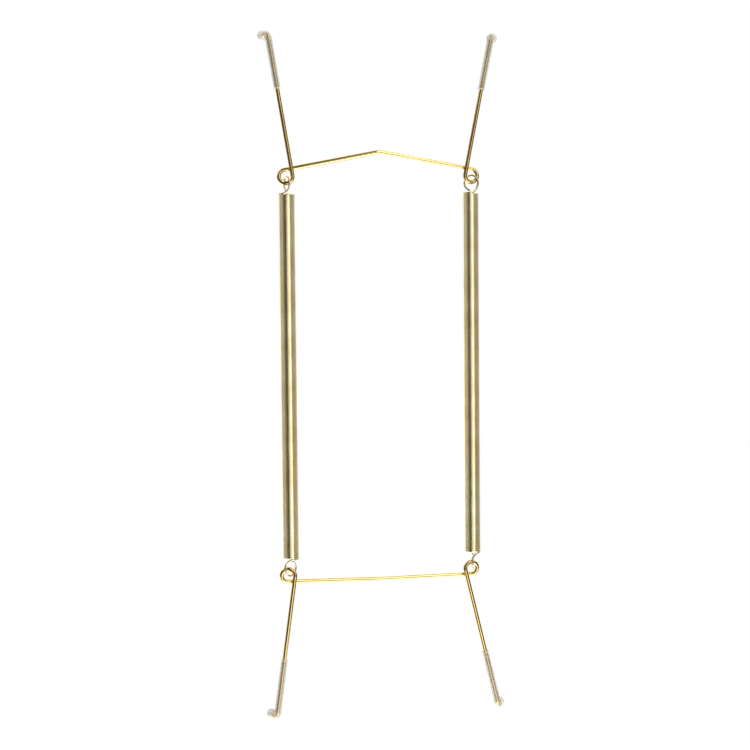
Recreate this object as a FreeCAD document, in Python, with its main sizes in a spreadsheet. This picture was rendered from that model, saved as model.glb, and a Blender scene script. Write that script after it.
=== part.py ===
import FreeCAD, Part
import math
import os

Vector = FreeCAD.Vector

# Driving dimensions in millimetres and degrees.
# X is the width, Y runs from the wall side to the plate side, Z is up.
# The origin is the underside of the upper wire's peak, where the nail bears.
DIMENSIONS = (
    # Bent wire of the two frames
    ("wire_diameter", 1.95),
    ("eye_radius", 3.0),
    ("eye_offset", 0.3),
    ("strand_gap", 0.35),
    ("upper_slope_angle", 10.4),
    ("upper_peak_radius", 6.0),
    ("lower_slope_angle", 0.7),
    ("lower_bow_radius", 500.0),
    ("lower_wire_shift", -1.0),
    # Arms and the hook legs at their ends
    ("upper_left_arm_length", 64.6),
    ("upper_right_arm_length", 64.6),
    ("lower_left_arm_length", 66.1),
    ("lower_right_arm_length", 67.1),
    ("upper_left_splay_angle", 9.0),
    ("upper_right_splay_angle", 11.9),
    ("lower_left_splay_angle", 7.5),
    ("lower_right_splay_angle", 14.0),
    ("arm_lean_angle", 2.8),
    ("hook_bend_radius", 3.0),
    ("hook_leg_length", 5.8),
    ("hook_leg_splay_angle", 16.0),
    ("hook_leg_close_angle", 7.0),
    # Vinyl sleeves over the hooks, with a round tip
    ("sleeve_wall", 0.625),
    ("sleeve_clearance", 0.05),
    ("upper_sleeve_length", 25.2),
    ("lower_sleeve_length", 27.2),
    ("tip_diameter", 4.8),
    # Extension springs
    ("spring_spacing", 85.2),
    ("spring_diameter", 7.6),
    ("spring_wire_diameter", 0.889),
    ("spring_stack_length", 167.0),
    ("coil_wander", 0.1),
    ("turns_per_groove", 5),
    ("groove_depth", 0.3),
    # Loops at the springs' ends, and their play in the eyes
    ("loop_gap", 0.2),
    ("loop_shift", 0.4),
    ("loop_arc_angle", 285.0),
    ("loop_dip_angle", 25.0),
    ("loop_lead_angle", 65.0),
    ("link_play", 1.64),
    ("first_loop_angle", -35.0),
    ("second_loop_angle", -78.0),
)

# Straight sides that stand for the round of an eye
EYE_CORNERS = 6

doc = FreeCAD.newDocument("plate_hanger")
sheet = doc.addObject("Spreadsheet::Sheet", "dims")
for row, (alias, value) in enumerate(DIMENSIONS, start=1):
    sheet.set(f"A{row}", alias)
    sheet.set(f"B{row}", str(value))
    sheet.setAlias(f"B{row}", alias)
doc.recompute()


def size(alias):
    """Value of one driving dimension."""
    return float(sheet.get(alias))


def cosine(degrees):
    return math.cos(math.radians(degrees))


def sine(degrees):
    return math.sin(math.radians(degrees))


def tangent(degrees):
    return math.tan(math.radians(degrees))


# Paths: straight runs joined by tangent arcs


def turn_at(before, corner, after):
    """Angle in radians by which a path turns at a corner."""
    return (corner - before).getAngle(after - corner)


def corner_radii(points, fixed):
    """Radius at each inner corner: the fixed one, or the largest that its two runs leave room for."""
    last = len(points) - 1
    turns = {i: turn_at(points[i - 1], points[i], points[i + 1]) for i in range(1, last)}
    taken = {i: radius * math.tan(turns[i] / 2) for i, radius in fixed.items()}

    def room(corner, neighbour):
        run = (points[corner] - points[neighbour]).Length
        if neighbour in (0, last):
            return run
        if neighbour in taken:
            return run - taken[neighbour]
        return run / 2

    radii = dict(fixed)
    for i in turns:
        if i not in fixed:
            radii[i] = min(room(i, i - 1), room(i, i + 1)) / math.tan(turns[i] / 2)
    return radii, turns


def rounded_path(points, fixed):
    """Wire through the points with each inner corner rounded by an arc."""
    radii, turns = corner_radii(points, fixed)
    shortest_run = 1e-4
    edges = []
    start = points[0]
    for i in range(1, len(points) - 1):
        corner = points[i]
        back = (points[i - 1] - corner).normalize()
        ahead = (points[i + 1] - corner).normalize()
        reach = radii[i] * math.tan(turns[i] / 2)
        arc_start = corner + back * reach
        arc_end = corner + ahead * reach
        depth = radii[i] * (1 / math.cos(turns[i] / 2) - 1)
        arc_middle = corner + (back + ahead).normalize() * depth
        if (arc_start - start).Length > shortest_run:
            edges.append(Part.LineSegment(start, arc_start).toShape())
        else:
            arc_start = start
        edges.append(Part.Arc(arc_start, arc_middle, arc_end).toShape())
        start = arc_end
    edges.append(Part.LineSegment(start, points[-1]).toShape())
    return Part.Wire(edges)


def swept_rod(name, wire, radius_expression):
    """Round rod along a path."""
    path = doc.addObject("Part::Feature", f"{name}_path")
    path.Shape = wire
    section = doc.addObject("Part::Circle", f"{name}_section")
    section.setExpression("Radius", radius_expression)
    edge = wire.Edges[0]
    along = edge.tangentAt(edge.FirstParameter)
    start = edge.valueAt(edge.FirstParameter)
    section.Placement = FreeCAD.Placement(start, FreeCAD.Rotation(Vector(0, 0, 1), along))
    rod = doc.addObject("Part::Sweep", f"{name}_rod")
    rod.Sections = [section]
    rod.Spine = (path, [f"Edge{i}" for i in range(1, len(path.Shape.Edges) + 1)])
    rod.Solid = True
    rod.Frenet = False
    return rod


# Links: the eyes hang in the springs' loops with some play

COIL_RADIUS = (size("spring_diameter") - size("spring_wire_diameter")) / 2
STACK_HALF = size("spring_stack_length") / 2
LOOP_RISE = size("loop_gap") + size("spring_diameter") / 2
LOOP_HOLE_RADIUS = COIL_RADIUS - size("spring_wire_diameter") / 2
EYE_HOLE_RADIUS = size("eye_radius") - size("wire_diameter") / 2
EYE_REACH = LOOP_RISE + LOOP_HOLE_RADIUS + EYE_HOLE_RADIUS - size("link_play")
EYE_CENTRE_U = size("spring_spacing") / 2 + size("eye_offset")
STRAND_SPACING = size("wire_diameter") + size("strand_gap")

# Wire frames: each half runs from the middle of the crossbar out to the hook leg's end.
# A half is laid out with u outwards from the middle, y in depth and v away from the springs.


def crossbar_vertex(slope):
    """Height v at which the two straight halves of a crossbar meet."""
    touch_u = EYE_CENTRE_U + size("eye_radius") * sine(slope)
    touch_v = EYE_REACH + size("eye_radius") * cosine(slope)
    return touch_v + touch_u * tangent(slope)


def half_frame(slope, splay, arm_length):
    """Corners of the eye, the hook's corner and the leg's end of one half, as (u, y, v)."""
    eye_radius = size("eye_radius")
    step = (270 - slope + splay) / EYE_CORNERS
    corner_distance = eye_radius / cosine(step / 2)
    points = []
    for i in range(EYE_CORNERS):
        angle = 90 - slope - (i + 0.5) * step
        y = -STRAND_SPACING * i / (EYE_CORNERS - 1)
        u = EYE_CENTRE_U + corner_distance * cosine(angle)
        v = EYE_REACH + corner_distance * sine(angle)
        points.append((u, y, v))
    hook_u = EYE_CENTRE_U - eye_radius * cosine(splay) + arm_length * sine(splay)
    hook_v = EYE_REACH + eye_radius * sine(splay) + arm_length * cosine(splay)
    hook_y = arm_length * tangent(size("arm_lean_angle")) - STRAND_SPACING
    points.append((hook_u, hook_y, hook_v))
    leg = size("hook_leg_length")
    leg_splay = size("hook_leg_splay_angle")
    leg_v = hook_v - leg * tangent(size("hook_leg_close_angle"))
    points.append((hook_u + leg * sine(leg_splay), hook_y + leg * cosine(leg_splay), leg_v))
    return points


UPPER_VERTEX = crossbar_vertex(size("upper_slope_angle"))
PEAK_ROUNDING = size("upper_peak_radius") * (1 / cosine(size("upper_slope_angle")) - 1)
STACK_TOP_Z = size("wire_diameter") / 2 + PEAK_ROUNDING - UPPER_VERTEX
STACK_BOTTOM_Z = STACK_TOP_Z - size("spring_stack_length")

# Each frame: height of the springs' end that it hangs on, way up, sideways shift and crossbar rounding
FRAMES = {
    "upper": (STACK_TOP_Z, 1, 0.0, "upper_peak_radius"),
    "lower": (STACK_BOTTOM_Z, -1, size("lower_wire_shift"), "lower_bow_radius"),
}
SIDES = {"left": -1, "right": 1}


def frame_half(frame, side):
    """Points of one half of a frame in the part's own axes."""
    level, way_up, shift, _ = FRAMES[frame]
    splay = size(f"{frame}_{side}_splay_angle")
    half = half_frame(size(f"{frame}_slope_angle"), splay, size(f"{frame}_{side}_arm_length"))
    return [Vector(SIDES[side] * u + shift, y, level + way_up * v) for u, y, v in half]


def wire_frame(frame):
    """One bent wire: leg, arm, eye, crossbar, eye, arm and leg."""
    level, way_up, shift, rounding = FRAMES[frame]
    vertex_z = level + way_up * crossbar_vertex(size(f"{frame}_slope_angle"))
    middle = Vector(shift, 0, vertex_z)
    left = frame_half(frame, "left")
    right = frame_half(frame, "right")
    points = left[::-1] + [middle] + right
    hook = size("hook_bend_radius")
    fixed = {1: hook, len(left): size(rounding), len(points) - 2: hook}
    wire = swept_rod(f"{frame}_wire", rounded_path(points, fixed), "dims.wire_diameter / 2")
    wire.Label = f"{frame}_wire"
    return wire


def sleeve(frame, side):
    """Clear sleeve over the end of an arm and round the hook's bend, with a round tip on the leg."""
    arm_start, hook, leg_end = frame_half(frame, side)[-3:]
    arm = (arm_start - hook).normalize()
    leg = (leg_end - hook).normalize()
    mouth = hook + arm * size(f"{frame}_sleeve_length")
    bore_end = leg_end + leg * size("sleeve_clearance")
    name = f"{frame}_{side}_sleeve"
    bend = {1: size("hook_bend_radius")}
    bore_radius = "dims.wire_diameter / 2 + dims.sleeve_clearance"
    outside = rounded_path([mouth, hook, leg_end], bend)
    tip = doc.addObject("Part::Sphere", f"{name}_tip")
    tip.setExpression("Radius", "dims.tip_diameter / 2")
    tip.Placement.Base = leg_end
    coat = doc.addObject("Part::MultiFuse", f"{name}_coat")
    coat.Shapes = [swept_rod(f"{name}_outside", outside, f"{bore_radius} + dims.sleeve_wall"), tip]
    bored = doc.addObject("Part::Cut", f"{name}_bored")
    bored.Base = coat
    bored.Tool = swept_rod(f"{name}_bore", rounded_path([mouth, hook, bore_end], bend), bore_radius)
    bored.Label = name
    return bored


# Springs: a close-wound stack with a loop at each end, laid out about their own middle


def coil_stack(name):
    """The stack of turns, with a groove between every few of them."""
    outer = size("spring_diameter") / 2
    inner = outer - size("spring_wire_diameter") - size("coil_wander")
    depth = size("groove_depth")
    pitch = size("spring_wire_diameter") * size("turns_per_groove")
    outline = [(inner, -STACK_HALF), (outer, -STACK_HALF)]
    for i in range(1, math.ceil((size("spring_stack_length") - depth) / pitch)):
        z = i * pitch - STACK_HALF
        outline += [(outer, z - depth), (outer - depth, z), (outer, z + depth)]
    outline += [(outer, STACK_HALF), (inner, STACK_HALF), (inner, -STACK_HALF)]
    profile = doc.addObject("Part::Feature", f"{name}_profile")
    profile.Shape = Part.Face(Part.makePolygon([Vector(x, 0, z) for x, z in outline]))
    stack = doc.addObject("Part::Revolution", f"{name}_stack")
    stack.Source = profile
    stack.Base = Vector(0, 0, 0)
    stack.Axis = Vector(0, 0, 1)
    stack.Angle = 360
    stack.Solid = False
    return stack


def end_loop(name, angle_alias, turn):
    """Riser that leaves the top turn along its tangent and curves up, and the loop that goes on from it."""
    angle = size(angle_alias)
    leave_angle = angle - size("loop_lead_angle")
    dip = size("loop_dip_angle")
    sunk = size("coil_wander") / 3
    leave_radius = COIL_RADIUS - sunk
    turn_z = STACK_HALF - size("spring_wire_diameter") / 2 - sunk
    start = Vector(leave_radius * cosine(leave_angle), leave_radius * sine(leave_angle), turn_z)
    leaving = Vector(-sine(leave_angle), cosine(leave_angle), 0)
    outwards = Vector(cosine(angle), sine(angle), 0)
    up = Vector(0, 0, 1)
    centre = outwards * size("loop_shift") + up * (STACK_HALF + LOOP_RISE)
    spoke = outwards * cosine(dip) - up * sine(dip)
    rising = outwards * sine(dip) + up * cosine(dip)
    loop_start = centre + spoke * COIL_RADIUS
    span = (loop_start - start).Length
    curve = Part.BSplineCurve()
    curve.interpolate([start, loop_start], InitialTangent=leaving * span, FinalTangent=rising * span)
    wire_radius = "dims.spring_wire_diameter / 2"
    riser = swept_rod(f"{name}_riser", Part.Wire([curve.toShape()]), wire_radius)
    loop = doc.addObject("Part::Torus", f"{name}_loop")
    loop.setExpression("Radius1", "(dims.spring_diameter - dims.spring_wire_diameter) / 2")
    loop.setExpression("Radius2", wire_radius)
    loop.setExpression("Angle3", "dims.loop_arc_angle")
    loop.Placement = FreeCAD.Placement(centre, FreeCAD.Rotation(spoke, rising, spoke.cross(rising), "XYZ"))
    for piece in (riser, loop):
        piece.Placement = FreeCAD.Placement(Vector(0, 0, 0), turn).multiply(piece.Placement)
    return [riser, loop]


def spring(side):
    """Extension spring; the left one is the right one turned half round about Y."""
    name = f"{side}_spring"
    unturned = FreeCAD.Rotation()
    half_turn = FreeCAD.Rotation(Vector(0, 1, 0), 180)
    pieces = [coil_stack(name)]
    pieces += end_loop(f"{name}_first", "first_loop_angle", unturned)
    pieces += end_loop(f"{name}_second", "second_loop_angle", half_turn)
    whole = doc.addObject("Part::MultiFuse", f"{name}_whole")
    whole.Shapes = pieces
    whole.Label = name
    turn = half_turn if side == "left" else unturned
    whole.Placement = FreeCAD.Placement(Vector(0, 0, STACK_TOP_Z - STACK_HALF), turn)
    whole.setExpression("Placement.Base.x", f"{SIDES[side]} * dims.spring_spacing / 2")
    whole.setExpression("Placement.Base.y", "-(dims.wire_diameter + dims.strand_gap) / 2")
    return whole


sub_parts = [wire_frame(frame) for frame in FRAMES]
sub_parts += [sleeve(frame, side) for frame in FRAMES for side in SIDES]
sub_parts += [spring(side) for side in SIDES]
doc.recompute()

for item in doc.Objects:
    if "Invalid" in item.State or "Error" in item.State:
        raise RuntimeError(f"{item.Name} failed: {item.State}")
for part in sub_parts:
    if part.Shape.isNull() or not part.Shape.isValid():
        raise RuntimeError(f"{part.Label} has no valid shape")

os.makedirs("parts", exist_ok=True)
for part in sub_parts:
    part.Shape.exportStep(f"parts/{part.Label}.step")
    print(part.Label, len(part.Shape.Solids), round(part.Shape.Volume, 2))
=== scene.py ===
import math

import bpy
import numpy as np
from mathutils import Matrix, Vector


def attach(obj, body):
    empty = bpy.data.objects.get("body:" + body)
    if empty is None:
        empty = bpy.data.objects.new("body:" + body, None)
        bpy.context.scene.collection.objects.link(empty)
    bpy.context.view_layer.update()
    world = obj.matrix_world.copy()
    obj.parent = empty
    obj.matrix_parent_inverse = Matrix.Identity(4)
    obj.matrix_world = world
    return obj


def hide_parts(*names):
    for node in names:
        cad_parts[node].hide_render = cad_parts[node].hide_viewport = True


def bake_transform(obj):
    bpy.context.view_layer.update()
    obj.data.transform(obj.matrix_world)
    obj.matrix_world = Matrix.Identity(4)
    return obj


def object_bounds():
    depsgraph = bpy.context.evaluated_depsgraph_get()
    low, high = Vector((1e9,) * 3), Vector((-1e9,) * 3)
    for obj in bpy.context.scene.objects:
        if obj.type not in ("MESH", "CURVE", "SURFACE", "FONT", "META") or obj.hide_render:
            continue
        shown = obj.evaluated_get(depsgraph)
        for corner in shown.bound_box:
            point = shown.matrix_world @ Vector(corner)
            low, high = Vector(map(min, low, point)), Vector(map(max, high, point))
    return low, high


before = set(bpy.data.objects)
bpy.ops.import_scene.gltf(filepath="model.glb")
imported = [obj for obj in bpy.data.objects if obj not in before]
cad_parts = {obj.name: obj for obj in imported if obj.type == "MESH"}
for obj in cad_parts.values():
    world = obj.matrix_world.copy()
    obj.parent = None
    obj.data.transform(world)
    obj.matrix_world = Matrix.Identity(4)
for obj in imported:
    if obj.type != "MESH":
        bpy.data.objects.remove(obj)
CAD_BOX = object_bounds()

# Sizes of the part in millimetres and degrees, as its solids have them
MM = 0.001
WIRE_RADIUS = 0.975
EYE_RADIUS = 3.0
EYE_OFFSET = 0.3
STRAND_GAP = 0.35
PEAK_RADIUS = 6.0
BOW_RADIUS = 500.0
LOWER_WIRE_SHIFT = -1.0
SLOPE = {"upper": 10.4, "lower": 0.7}
ARM_LENGTH = {
    ("upper", "left"): 64.6,
    ("upper", "right"): 64.6,
    ("lower", "left"): 66.1,
    ("lower", "right"): 67.1,
}
SPLAY = {
    ("upper", "left"): 9.0,
    ("upper", "right"): 11.9,
    ("lower", "left"): 7.5,
    ("lower", "right"): 14.0,
}
ARM_LEAN = 2.8
HOOK_BEND_RADIUS = 3.0
HOOK_LEG_LENGTH = 5.8
HOOK_LEG_SPLAY = 16.0
HOOK_LEG_CLOSE = 7.0
SLEEVE_CLEARANCE = 0.05
SLEEVE_WALL = 0.625
SLEEVE_BORE_RADIUS = WIRE_RADIUS + SLEEVE_CLEARANCE
SLEEVE_RADIUS = SLEEVE_BORE_RADIUS + SLEEVE_WALL
SLEEVE_LENGTH = {"upper": 25.2, "lower": 27.2}
TIP_RADIUS = 2.4
SPRING_SPACING = 85.2
SPRING_DIAMETER = 7.6
SPRING_WIRE = 0.889
STACK_LENGTH = 167.0
LOOP_GAP = 0.2
LOOP_SHIFT = 0.4
LOOP_ARC = 285.0
LOOP_DIP = 25.0
LOOP_LEAD = 65.0
LINK_PLAY = 1.64
LOOP_ANGLES = (-35.0, -78.0)

EYE_CORNERS = 6
COIL_RADIUS = (SPRING_DIAMETER - SPRING_WIRE) / 2
STACK_HALF = STACK_LENGTH / 2
LOOP_RISE = LOOP_GAP + SPRING_DIAMETER / 2
EYE_REACH = LOOP_RISE + COIL_RADIUS - SPRING_WIRE / 2 + EYE_RADIUS - WIRE_RADIUS - LINK_PLAY
EYE_CENTRE_U = SPRING_SPACING / 2 + EYE_OFFSET
STRAND_SPACING = 2 * WIRE_RADIUS + STRAND_GAP
SPRING_Y = -STRAND_SPACING / 2
SIDES = {"left": -1, "right": 1}


def cosine(degrees):
    return math.cos(math.radians(degrees))


def sine(degrees):
    return math.sin(math.radians(degrees))


def tangent(degrees):
    return math.tan(math.radians(degrees))


def unit(vector):
    return vector / np.linalg.norm(vector)


# Paths: straight runs joined by tangent arcs, as lists of points

ARC_STEP = math.radians(4)
LEAST_ARC_STEPS = 8
SAME_POINT = 1e-4


def turn_at(before, corner, after):
    """Angle in radians by which a path turns at a corner."""
    return math.acos(np.clip(np.dot(unit(corner - before), unit(after - corner)), -1, 1))


def corner_radii(points, fixed):
    """Radius at each inner corner: the fixed one, or the largest that its two runs leave room for."""
    last = len(points) - 1
    turns = {i: turn_at(*points[i - 1 : i + 2]) for i in range(1, last)}
    taken = {i: radius * math.tan(turns[i] / 2) for i, radius in fixed.items()}

    def room(corner, neighbour):
        run = np.linalg.norm(points[corner] - points[neighbour])
        if neighbour in (0, last):
            return run
        return run - taken[neighbour] if neighbour in taken else run / 2

    radii = dict(fixed)
    for i in turns:
        if i not in fixed:
            radii[i] = min(room(i, i - 1), room(i, i + 1)) / math.tan(turns[i] / 2)
    return radii, turns


def rounded_path(points, fixed):
    """Points along a path whose inner corners are rounded by arcs."""
    points = [np.array(point, float) for point in points]
    radii, turns = corner_radii(points, fixed)
    path = [points[0]]
    for i in range(1, len(points) - 1):
        corner = points[i]
        back = unit(points[i - 1] - corner)
        ahead = unit(points[i + 1] - corner)
        reach = radii[i] * math.tan(turns[i] / 2)
        centre = corner + unit(back + ahead) * radii[i] / math.cos(turns[i] / 2)
        first = corner + back * reach - centre
        final = corner + ahead * reach - centre
        steps = max(LEAST_ARC_STEPS, math.ceil(turns[i] / ARC_STEP))
        for t in np.linspace(0, 1, steps + 1):
            weights = math.sin((1 - t) * turns[i]), math.sin(t * turns[i])
            point = centre + (weights[0] * first + weights[1] * final) / math.sin(turns[i])
            if np.linalg.norm(point - path[-1]) > SAME_POINT:
                path.append(point)
    path.append(points[-1])
    return np.array(path)


# Meshes: round skins around a path

SHARP_ANGLE = math.radians(32)


def path_frames(path):
    """Unit vectors at each point of a path: along it, and two across it that don't twist."""
    runs = np.diff(path, axis=0)
    runs /= np.linalg.norm(runs, axis=1)[:, None]
    along = np.vstack([runs[:1], runs[:-1] + runs[1:], runs[-1:]])
    along /= np.linalg.norm(along, axis=1)[:, None]
    helper = np.eye(3)[np.argmin(np.abs(along[0]))]
    across = unit(np.cross(along[0], helper))
    acrosses = []
    for direction in along:
        across = unit(across - direction * np.dot(across, direction))
        acrosses.append(across)
    acrosses = np.array(acrosses)
    return along, acrosses, np.cross(along, acrosses)


def skin(name, path, stations, sides):
    """Mesh through rings around a path. A station is (point on the path, offset along it, radius)."""
    along, across, other = path_frames(path)
    lengths = np.concatenate([[0], np.cumsum(np.linalg.norm(np.diff(path, axis=0), axis=1))])
    angles = np.arange(sides) * 2 * math.pi / sides
    vertices = []
    travel = []
    for index, offset, radius in stations:
        spokes = np.outer(np.cos(angles), across[index]) + np.outer(np.sin(angles), other[index])
        vertices.append(path[index] + along[index] * offset + spokes * radius)
        travel.append(lengths[index] + offset)
    count = len(stations)
    faces = []
    marks = []
    for i in range(count - 1):
        ahead = i + 1
        for j in range(sides):
            beside = (j + 1) % sides
            faces.append((i * sides + j, i * sides + beside, ahead * sides + beside, ahead * sides + j))
            marks.append(((j, travel[i]), (j + 1, travel[i]), (j + 1, travel[ahead]), (j, travel[ahead])))
    for ring, order in ((0, range(sides)[::-1]), (count - 1, range(sides))):
        faces.append([ring * sides + j for j in order])
        marks.append([(j, travel[ring]) for j in order])
    mesh = bpy.data.meshes.new(name)
    mesh.from_pydata(np.concatenate(vertices) * MM, [], faces)
    layer = mesh.uv_layers.new(name="round_and_along")
    layer.data.foreach_set("uv", [x for face in marks for j, v in face for x in (j / sides, v * MM)])
    mesh.validate()
    mesh.shade_smooth()
    mesh.set_sharp_from_angle(angle=SHARP_ANGLE)
    piece = bpy.data.objects.new(name, mesh)
    bpy.context.scene.collection.objects.link(piece)
    return piece


def rod_stations(path, radius, bevel):
    """Stations of a round rod with bevelled ends."""
    last = len(path) - 1
    stations = [(0, 0, radius - bevel), (0, bevel, radius)]
    stations += [(i, 0, radius) for i in range(1, last)]
    return stations + [(last, -bevel, radius), (last, 0, radius - bevel)]


SLEEVE_BEVEL = 0.1
SLEEVE_LIP = 0.25
BORE_END_SHARE = 0.05
LIP_STEPS = 13
TIP_ANGLES = (170, 2)
TIP_STEPS = 40
NECK_SHARPNESS = 12


def sleeve_stations(path, bevel, lip):
    """Stations of a sleeve: from the bore's closed end to the mouth, along the outside and over the tip.

    Also the ranges of stations in the bore and at the thick places: the rolled mouth and the tip."""
    last = len(path) - 1
    bore = SLEEVE_BORE_RADIUS
    outer = SLEEVE_RADIUS
    stations = [(last, SLEEVE_CLEARANCE, bore * BORE_END_SHARE), (last, SLEEVE_CLEARANCE, bore)]
    stations += [(i, 0, bore) for i in range(last - 1, 0, -1)]
    mouth_start = len(stations)
    stations += [(0, bevel, bore), (0, 0, bore + bevel)]
    for angle in np.linspace(-90, 90, LIP_STEPS):
        stations.append((0, lip + lip * sine(angle), outer - lip / 2 + lip * cosine(angle)))
    mouth_end = len(stations) - 1
    stations += [(i, 0, outer) for i in range(1, last)]
    tip_start = len(stations)
    for angle in np.linspace(*TIP_ANGLES, TIP_STEPS):
        ball = TIP_RADIUS * sine(angle)
        if angle > 90:
            # The neck, where the tube runs into the round tip
            ball = (ball**NECK_SHARPNESS + outer**NECK_SHARPNESS) ** (1 / NECK_SHARPNESS)
        stations.append((last, TIP_RADIUS * cosine(angle), ball))
    return stations, (0, mouth_start), ((mouth_start, mouth_end), (tip_start, len(stations)))


# Wire frames: each half runs from the middle of the crossbar out to the hook leg's end

WIRE_BEVEL = 0.15
WIRE_SIDES = 32
SLEEVE_SIDES = 40


def crossbar_vertex(slope):
    """Height at which the two straight halves of a crossbar meet, from the springs' end."""
    touch_u = EYE_CENTRE_U + EYE_RADIUS * sine(slope)
    touch_v = EYE_REACH + EYE_RADIUS * cosine(slope)
    return touch_v + touch_u * tangent(slope)


PEAK_ROUNDING = PEAK_RADIUS * (1 / cosine(SLOPE["upper"]) - 1)
STACK_TOP_Z = WIRE_RADIUS + PEAK_ROUNDING - crossbar_vertex(SLOPE["upper"])
STACK_BOTTOM_Z = STACK_TOP_Z - STACK_LENGTH

# Each frame: springs' end that it hangs on, way up, sideways shift and rounding of its crossbar
FRAMES = {
    "upper": (STACK_TOP_Z, 1, 0.0, PEAK_RADIUS),
    "lower": (STACK_BOTTOM_Z, -1, LOWER_WIRE_SHIFT, BOW_RADIUS),
}


def frame_half(frame_name, side):
    """Corners of the eye, the hook's corner and the leg's end of one half."""
    slope = SLOPE[frame_name]
    splay = SPLAY[frame_name, side]
    arm = ARM_LENGTH[frame_name, side]
    step = (270 - slope + splay) / EYE_CORNERS
    half = []
    for i in range(EYE_CORNERS):
        angle = 90 - slope - (i + 0.5) * step
        y = -STRAND_SPACING * i / (EYE_CORNERS - 1)
        u = EYE_CENTRE_U + EYE_RADIUS / cosine(step / 2) * cosine(angle)
        v = EYE_REACH + EYE_RADIUS / cosine(step / 2) * sine(angle)
        half.append((u, y, v))
    hook_u = EYE_CENTRE_U - EYE_RADIUS * cosine(splay) + arm * sine(splay)
    hook_v = EYE_REACH + EYE_RADIUS * sine(splay) + arm * cosine(splay)
    hook_y = arm * tangent(ARM_LEAN) - STRAND_SPACING
    half.append((hook_u, hook_y, hook_v))
    leg_u = hook_u + HOOK_LEG_LENGTH * sine(HOOK_LEG_SPLAY)
    leg_y = hook_y + HOOK_LEG_LENGTH * cosine(HOOK_LEG_SPLAY)
    half.append((leg_u, leg_y, hook_v - HOOK_LEG_LENGTH * tangent(HOOK_LEG_CLOSE)))
    level, way_up, shift, _ = FRAMES[frame_name]
    return [np.array((SIDES[side] * u + shift, y, level + way_up * v)) for u, y, v in half]


def wire_frame(frame_name):
    """One bent wire: leg, arm, eye, crossbar, eye, arm and leg."""
    level, way_up, shift, rounding = FRAMES[frame_name]
    middle = np.array((shift, 0, level + way_up * crossbar_vertex(SLOPE[frame_name])))
    left = frame_half(frame_name, "left")
    right = frame_half(frame_name, "right")
    points = left[::-1] + [middle] + right
    fixed = {1: HOOK_BEND_RADIUS, len(left): rounding, len(points) - 2: HOOK_BEND_RADIUS}
    path = rounded_path(points, fixed)
    stations = rod_stations(path, WIRE_RADIUS, WIRE_BEVEL)
    wire = skin(f"{frame_name}_bent_wire", path, stations, WIRE_SIDES)
    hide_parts(f"{frame_name}_wire")
    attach(wire, f"{frame_name}_frame")
    return wire


def sleeve(frame_name, side):
    """Clear tube over the end of an arm and round the hook's bend, with a round tip on the leg."""
    arm_start, hook, leg_end = frame_half(frame_name, side)[-3:]
    mouth = hook + unit(arm_start - hook) * SLEEVE_LENGTH[frame_name]
    path = rounded_path([mouth, hook, leg_end], {1: HOOK_BEND_RADIUS})
    stations, bore, thick = sleeve_stations(path, SLEEVE_BEVEL, SLEEVE_LIP)
    tube = skin(f"{frame_name}_{side}_tube", path, stations, SLEEVE_SIDES)
    dress(tube, CLEAR_VINYL, THICK_VINYL, BORE_VINYL)
    for (first, final), material_index in ((thick[0], 1), (thick[1], 1), (bore, 2)):
        for face in tube.data.polygons[first * SLEEVE_SIDES : final * SLEEVE_SIDES]:
            face.material_index = material_index
    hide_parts(f"{frame_name}_{side}_sleeve")
    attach(tube, f"{frame_name}_frame")


# Springs: one wire each, from loop to loop

STEPS_PER_TURN = 30
LOOP_STEPS = 90
RISER_STEPS = 30
SPRING_BEVEL = 0.08
SPRING_SIDES = 12


def end_loop(angle):
    """Points from the top turn up its curved riser and round the loop, about the spring's own middle."""
    leave_angle = angle - LOOP_LEAD
    turn_z = STACK_HALF - SPRING_WIRE / 2
    start = np.array((COIL_RADIUS * cosine(leave_angle), COIL_RADIUS * sine(leave_angle), turn_z))
    leaving = np.array((-sine(leave_angle), cosine(leave_angle), 0))
    outwards = np.array((cosine(angle), sine(angle), 0))
    up = np.array((0, 0, 1))
    centre = outwards * LOOP_SHIFT + up * (STACK_HALF + LOOP_RISE)
    turned = np.radians(np.linspace(0, LOOP_ARC, LOOP_STEPS) - LOOP_DIP)
    loop = centre + COIL_RADIUS * (np.outer(np.cos(turned), outwards) + np.outer(np.sin(turned), up))
    rising = outwards * sine(LOOP_DIP) + up * cosine(LOOP_DIP)
    span = np.linalg.norm(loop[0] - start)
    t = np.linspace(0, 1, RISER_STEPS)[:-1, None]
    riser = (2 * t**3 - 3 * t**2 + 1) * start + (3 * t**2 - 2 * t**3) * loop[0]
    riser = riser + span * ((t**3 - 2 * t**2 + t) * leaving + (t**3 - t**2) * rising)
    return leave_angle, np.vstack([riser, loop])


def spring(side):
    """Close-wound extension spring; the left one is the right one turned half round."""
    half_turn = np.array((-1, 1, -1))
    first_angle, first = end_loop(LOOP_ANGLES[0])
    second_angle, second = end_loop(LOOP_ANGLES[1])
    second = second[::-1] * half_turn
    start_angle = 180 - second_angle
    height = STACK_LENGTH - SPRING_WIRE
    part_turn = (first_angle - start_angle) / 360 % 1
    turns = round(height / SPRING_WIRE - part_turn) + part_turn
    wound = np.linspace(0, 1, round(turns * STEPS_PER_TURN) + 1)[1:-1]
    angles = np.radians(start_angle + 360 * turns * wound)
    levels = (wound - 0.5) * height
    coil = np.column_stack([COIL_RADIUS * np.cos(angles), COIL_RADIUS * np.sin(angles), levels])
    path = np.vstack([second, coil, first])
    if side == "left":
        path = path[::-1] * half_turn
    path = path + np.array((SIDES[side] * SPRING_SPACING / 2, SPRING_Y, STACK_TOP_Z - STACK_HALF))
    stations = rod_stations(path, SPRING_WIRE / 2, SPRING_BEVEL)
    coil_spring = skin(f"{side}_coil_spring", path, stations, SPRING_SIDES)
    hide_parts(f"{side}_spring")
    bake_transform(coil_spring)
    return coil_spring


# Materials

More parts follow.
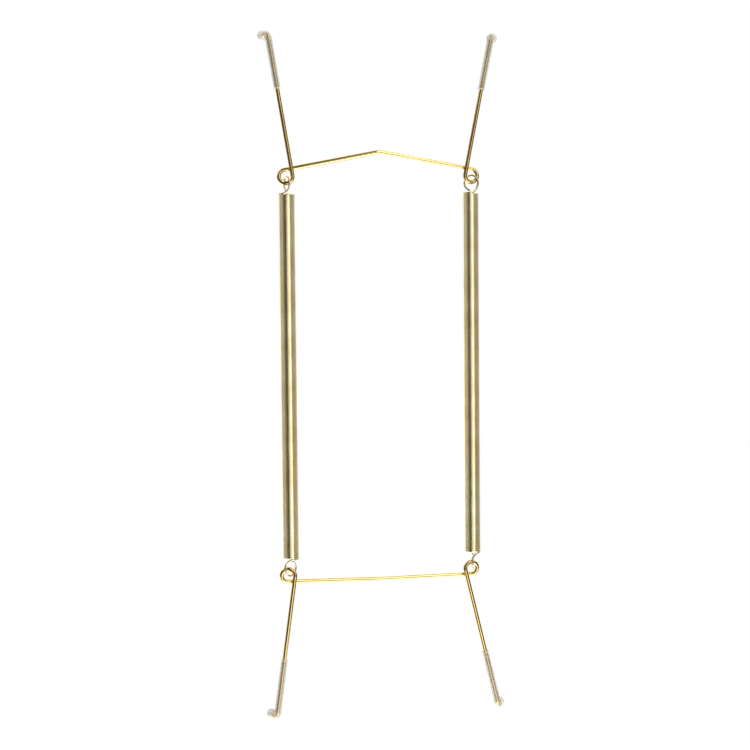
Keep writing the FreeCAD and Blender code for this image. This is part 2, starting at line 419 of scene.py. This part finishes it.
TARNISH_SCALE = 90.0
TARNISH_DETAIL = 4.0
TARNISH_RANGE = (0.35, 0.65)
STREAK_STRETCH = (14.0, 60.0, 1.0)
STREAK_SCALE = 1.0
STREAK_DETAIL = 3.0
STREAK_ROUGHNESS = (0.7, 1.4)
STREAK_STRENGTH = 0.12
STREAK_HEIGHT = 0.00003
CLOUD_SCALE = 160.0
CLOUD_DETAIL = 3.0
CLOUD_RANGE = (0.3, 0.7)
COAT_WEIGHT = 1.0
COAT_IOR = 2.2
COAT_ROUGHNESS = 0.08


def new_material(name):
    """Material with its nodes, its links and its surface shader."""
    material = bpy.data.materials.new(name)
    material.use_nodes = True
    nodes = material.node_tree.nodes
    links = material.node_tree.links
    return material, nodes, links, nodes["Principled BSDF"]


def noise(nodes, links, vector, scale, detail):
    """Value of a noise texture."""
    node = nodes.new("ShaderNodeTexNoise")
    node.inputs["Scale"].default_value = scale
    node.inputs["Detail"].default_value = detail
    links.new(vector, node.inputs["Vector"])
    return node.outputs["Fac"]


def ramp(nodes, links, factor, positions, colours):
    """Colour ramp between two colours at two positions."""
    node = nodes.new("ShaderNodeValToRGB")
    for element, position, colour in zip(node.color_ramp.elements, positions, colours):
        element.position = position
        element.color = (*colour, 1)
    links.new(factor, node.inputs["Fac"])
    return node.outputs["Color"]


def brass(name, bright, dull, roughness):
    """Polished brass plating with drawn streaks along the wire and faint tarnish."""
    material, nodes, links, surface = new_material(name)
    surface.inputs["Metallic"].default_value = 1.0
    place = nodes.new("ShaderNodeTexCoord")
    tarnish = noise(nodes, links, place.outputs["Object"], TARNISH_SCALE, TARNISH_DETAIL)
    tone = ramp(nodes, links, tarnish, TARNISH_RANGE, (dull, bright))
    links.new(tone, surface.inputs["Base Color"])
    stretch = nodes.new("ShaderNodeMapping")
    stretch.inputs["Scale"].default_value = STREAK_STRETCH
    links.new(place.outputs["UV"], stretch.inputs["Vector"])
    streaks = noise(nodes, links, stretch.outputs["Vector"], STREAK_SCALE, STREAK_DETAIL)
    shine = nodes.new("ShaderNodeMapRange")
    shine.inputs["To Min"].default_value = roughness * STREAK_ROUGHNESS[0]
    shine.inputs["To Max"].default_value = roughness * STREAK_ROUGHNESS[1]
    links.new(streaks, shine.inputs["Value"])
    links.new(shine.outputs["Result"], surface.inputs["Roughness"])
    bump = nodes.new("ShaderNodeBump")
    bump.inputs["Strength"].default_value = STREAK_STRENGTH
    bump.inputs["Distance"].default_value = STREAK_HEIGHT
    links.new(streaks, bump.inputs["Height"])
    links.new(bump.outputs["Normal"], surface.inputs["Normal"])
    return material


def vinyl(name, dull, pale, milky, roughness):
    """Glossy clear vinyl, more or less milky, with a faint clouding."""
    material, nodes, links, surface = new_material(name)
    place = nodes.new("ShaderNodeTexCoord")
    cloud = noise(nodes, links, place.outputs["Object"], CLOUD_SCALE, CLOUD_DETAIL)
    tone = ramp(nodes, links, cloud, CLOUD_RANGE, (dull, pale))
    links.new(tone, surface.inputs["Base Color"])
    surface.inputs["Alpha"].default_value = milky
    surface.inputs["Roughness"].default_value = roughness
    surface.inputs["Coat Weight"].default_value = COAT_WEIGHT
    surface.inputs["Coat IOR"].default_value = COAT_IOR
    surface.inputs["Coat Roughness"].default_value = COAT_ROUGHNESS
    return material


def dress(piece, *materials):
    """Gives a piece its materials, in the order of their slots."""
    piece.data.materials.clear()
    for material in materials:
        piece.data.materials.append(material)


WIRE_BRIGHT = (0.90, 0.68, 0.29)
WIRE_DULL = (0.78, 0.57, 0.22)
SPRING_BRIGHT = (0.94, 0.82, 0.55)
SPRING_DULL = (0.83, 0.71, 0.43)
CLEAR_DULL = (0.46, 0.43, 0.33)
CLEAR_PALE = (0.56, 0.53, 0.43)
THICK_DULL = (0.78, 0.75, 0.66)
THICK_PALE = (0.86, 0.83, 0.75)

WIRE_BRASS = brass("brass_plated_wire", WIRE_BRIGHT, WIRE_DULL, roughness=0.13)
SPRING_BRASS = brass("brass_plated_spring", SPRING_BRIGHT, SPRING_DULL, roughness=0.17)
CLEAR_VINYL = vinyl("clear_vinyl_sleeve", CLEAR_DULL, CLEAR_PALE, milky=0.36, roughness=0.2)
BORE_VINYL = vinyl("clear_vinyl_bore", CLEAR_DULL, CLEAR_PALE, milky=0.04, roughness=0.2)
THICK_VINYL = vinyl("milky_vinyl_end", THICK_DULL, THICK_PALE, milky=0.6, roughness=0.3)

for frame_name in FRAMES:
    dress(wire_frame(frame_name), WIRE_BRASS)
    for side in SIDES:
        sleeve(frame_name, side)
for side in SIDES:
    dress(spring(side), SPRING_BRASS)

# Camera: angles in degrees, lengths in millimetres

CAMERA_YAW = 10.78
CAMERA_PITCH = -4.124
CAMERA_ROLL = -0.526
CAMERA_DISTANCE = 945.4
CAMERA_TARGET = (-2.73, -1.15, -100.43)
CAMERA_VIEW_ANGLE = 20.571


def add_camera():
    """Camera at the photograph's viewing angle."""
    forward = Vector(
        (
            sine(CAMERA_YAW) * cosine(CAMERA_PITCH),
            cosine(CAMERA_YAW) * cosine(CAMERA_PITCH),
            sine(CAMERA_PITCH),
        )
    )
    level = Vector((cosine(CAMERA_YAW), -sine(CAMERA_YAW), 0))
    upright = level.cross(forward)
    right = level * cosine(CAMERA_ROLL) + upright * sine(CAMERA_ROLL)
    up = upright * cosine(CAMERA_ROLL) - level * sine(CAMERA_ROLL)
    data = bpy.data.cameras.new("camera")
    data.angle = math.radians(CAMERA_VIEW_ANGLE)
    camera = bpy.data.objects.new("camera", data)
    bpy.context.scene.collection.objects.link(camera)
    place = (Vector(CAMERA_TARGET) - forward * CAMERA_DISTANCE) * MM
    turn = Matrix((right, up, -forward)).transposed()
    camera.matrix_world = Matrix.Translation(place) @ turn.to_4x4()
    bpy.context.scene.camera = camera


add_camera()

# Stage, in metres: a pale floor, a white surround, a dim screen and soft lights

CENTRE = (CAD_BOX[0] + CAD_BOX[1]) / 2
FLOOR_DROP = 2.5
FLOOR_SIZE = 6.0
FLOOR_COLOUR = (0.8, 0.8, 0.8, 1)
FLOOR_ROUGHNESS = 0.9
SURROUND_COLOUR = (0.25, 0.25, 0.25, 1)
WHITE = (1, 1, 1, 1)
SCREEN_RADIUS = 2.4
SCREEN_RIM_ANGLE = 130
SCREEN_RINGS = 26
SCREEN_SIDES = 48
SCREEN_DIM = (0.075, 0.07, 0.062)
SCREEN_RIM = (0.5, 0.5, 0.5)
SCREEN_RANGE = (0.5, 0.68)


def white_to_eye(nodes, links, lit, target):
    """Shows plain white to the camera, in reflections and through clear things; the lit shader lights."""
    path = nodes.new("ShaderNodeLightPath")
    seen = path.outputs["Is Camera Ray"]
    for ray in ("Is Glossy Ray", "Is Transmission Ray"):
        either = nodes.new("ShaderNodeMath")
        either.operation = "MAXIMUM"
        links.new(seen, either.inputs[0])
        links.new(path.outputs[ray], either.inputs[1])
        seen = either.outputs["Value"]
    in_world = target.node.type == "OUTPUT_WORLD"
    white = nodes.new("ShaderNodeBackground" if in_world else "ShaderNodeEmission")
    white.inputs["Color"].default_value = WHITE
    white.inputs["Strength"].default_value = 1.0
    mix = nodes.new("ShaderNodeMixShader")
    links.new(seen, mix.inputs["Fac"])
    links.new(lit, mix.inputs[1])
    links.new(white.outputs[0], mix.inputs[2])
    links.new(mix.outputs["Shader"], target)


def add_floor():
    """Plain pale floor, far below the hanging part."""
    data = bpy.data.meshes.new("floor")
    half = FLOOR_SIZE / 2
    level = CAD_BOX[0].z - FLOOR_DROP
    corners = [(-half, -half, level), (half, -half, level), (half, half, level), (-half, half, level)]
    data.from_pydata(corners, [], [(0, 1, 2, 3)])
    floor = bpy.data.objects.new("floor", data)
    bpy.context.scene.collection.objects.link(floor)
    material, nodes, links, surface = new_material("pale_floor")
    surface.inputs["Base Color"].default_value = FLOOR_COLOUR
    surface.inputs["Roughness"].default_value = FLOOR_ROUGHNESS
    white_to_eye(nodes, links, surface.outputs["BSDF"], nodes["Material Output"].inputs["Surface"])
    data.materials.append(material)


def add_surround():
    """World all round, white to the eye, that lights softly."""
    world = bpy.data.worlds.new("surround")
    bpy.context.scene.world = world
    world.use_nodes = True
    nodes = world.node_tree.nodes
    links = world.node_tree.links
    surround = nodes["Background"]
    surround.inputs["Color"].default_value = SURROUND_COLOUR
    target = nodes["World Output"].inputs["Surface"]
    white_to_eye(nodes, links, surround.outputs["Background"], target)


def add_screen():
    """Dim studio screen round the camera's side, which polished metal shows as its dark bands."""
    vertices = []
    for ring in range(SCREEN_RINGS + 1):
        away = SCREEN_RIM_ANGLE * ring / SCREEN_RINGS
        for step in range(SCREEN_SIDES):
            turn = 360 * step / SCREEN_SIDES
            across = sine(away) * cosine(turn)
            vertices.append(Vector((across, -cosine(away), sine(away) * sine(turn))) * SCREEN_RADIUS)
    faces = []
    for ring in range(SCREEN_RINGS):
        for step in range(SCREEN_SIDES):
            start = ring * SCREEN_SIDES
            beside = (step + 1) % SCREEN_SIDES
            outer = start + SCREEN_SIDES
            faces.append((start + step, start + beside, outer + beside, outer + step))
    data = bpy.data.meshes.new("screen")
    data.from_pydata(vertices, [], faces)
    screen = bpy.data.objects.new("screen", data)
    screen.location = CENTRE
    screen.visible_camera = False
    screen.visible_diffuse = False
    screen.visible_shadow = False
    bpy.context.scene.collection.objects.link(screen)
    material, nodes, links, _ = new_material("dim_screen")
    place = nodes.new("ShaderNodeTexCoord")
    split = nodes.new("ShaderNodeSeparateXYZ")
    links.new(place.outputs["Object"], split.inputs["Vector"])
    spread = nodes.new("ShaderNodeMapRange")
    spread.inputs["From Min"].default_value = -SCREEN_RADIUS
    spread.inputs["From Max"].default_value = SCREEN_RADIUS
    links.new(split.outputs["Y"], spread.inputs["Value"])
    tone = ramp(nodes, links, spread.outputs["Result"], SCREEN_RANGE, (SCREEN_DIM, SCREEN_RIM))
    glow = nodes.new("ShaderNodeEmission")
    links.new(tone, glow.inputs["Color"])
    links.new(glow.outputs["Emission"], nodes["Material Output"].inputs["Surface"])
    data.materials.append(material)


def add_panel(name, azimuth, elevation, distance, width, height, power, shift=0.0):
    """Soft light that faces the part, placed by its direction: azimuth 0 is in front, 90 to the right.

    The shift moves it sideways, to the right, without turning it."""
    data = bpy.data.lights.new(name, "AREA")
    data.shape = "RECTANGLE"
    data.size = width
    data.size_y = height
    data.energy = power
    level = cosine(elevation)
    direction = Vector((sine(azimuth) * level, -cosine(azimuth) * level, sine(elevation)))
    light = bpy.data.objects.new(name, data)
    light.location = CENTRE + direction * distance + Vector((shift, 0, 0))
    light.rotation_euler = direction.to_track_quat("Z", "Y").to_euler()
    light.visible_camera = False
    bpy.context.scene.collection.objects.link(light)
    return light


# Tall light in front, in steps from below to above: elevation, width, power and shift to the right
TALL_DISTANCE = 1.4
TALL_STEP_HEIGHT = 0.82
TALL_LIGHT = (
    (-66, 0.95, 8.8, 0.2),
    (-33, 0.95, 4.2, 0.2),
    (0, 0.95, 0.8, 0.2),
    (33, 0.43, 1.4, 0.345),
    (66, 0.43, 2.9, 0.345),
)

# Side lights, each above and below the level: name, azimuth, width and power
SIDE_DISTANCE = 1.6
SIDE_HEIGHT = 1.4
SIDE_ELEVATIONS = (-48, 48)
SIDE_LIGHTS = (("left_light", -96, 1.0, 3.6), ("right_light", 80, 1.8, 5))

# Fill lights in front and behind, which reflections don't show
FILL_AZIMUTHS = (0, 180)

add_floor()
add_surround()
add_screen()
for elevation, width, power, shift in TALL_LIGHT:
    name = f"tall_light_{elevation}"
    add_panel(name, 0, elevation, TALL_DISTANCE, width, TALL_STEP_HEIGHT, power, shift)
add_panel("back_light", azimuth=188, elevation=-50, distance=1.4, width=1.0, height=1.9, power=12)
add_panel("strip_light", azimuth=29, elevation=15, distance=1.4, width=0.35, height=1.2, power=1.6)
for elevation in SIDE_ELEVATIONS:
    for name, azimuth, width, power in SIDE_LIGHTS:
        add_panel(f"{name}_{elevation}", azimuth, elevation, SIDE_DISTANCE, width, SIDE_HEIGHT, power)
for azimuth in FILL_AZIMUTHS:
    name = f"fill_{azimuth}"
    fill = add_panel(name, azimuth, elevation=10, distance=2.0, width=1.5, height=1.5, power=14)
    fill.visible_glossy = False
    fill.visible_transmission = False
bpy.context.scene.view_settings.view_transform = "Standard"
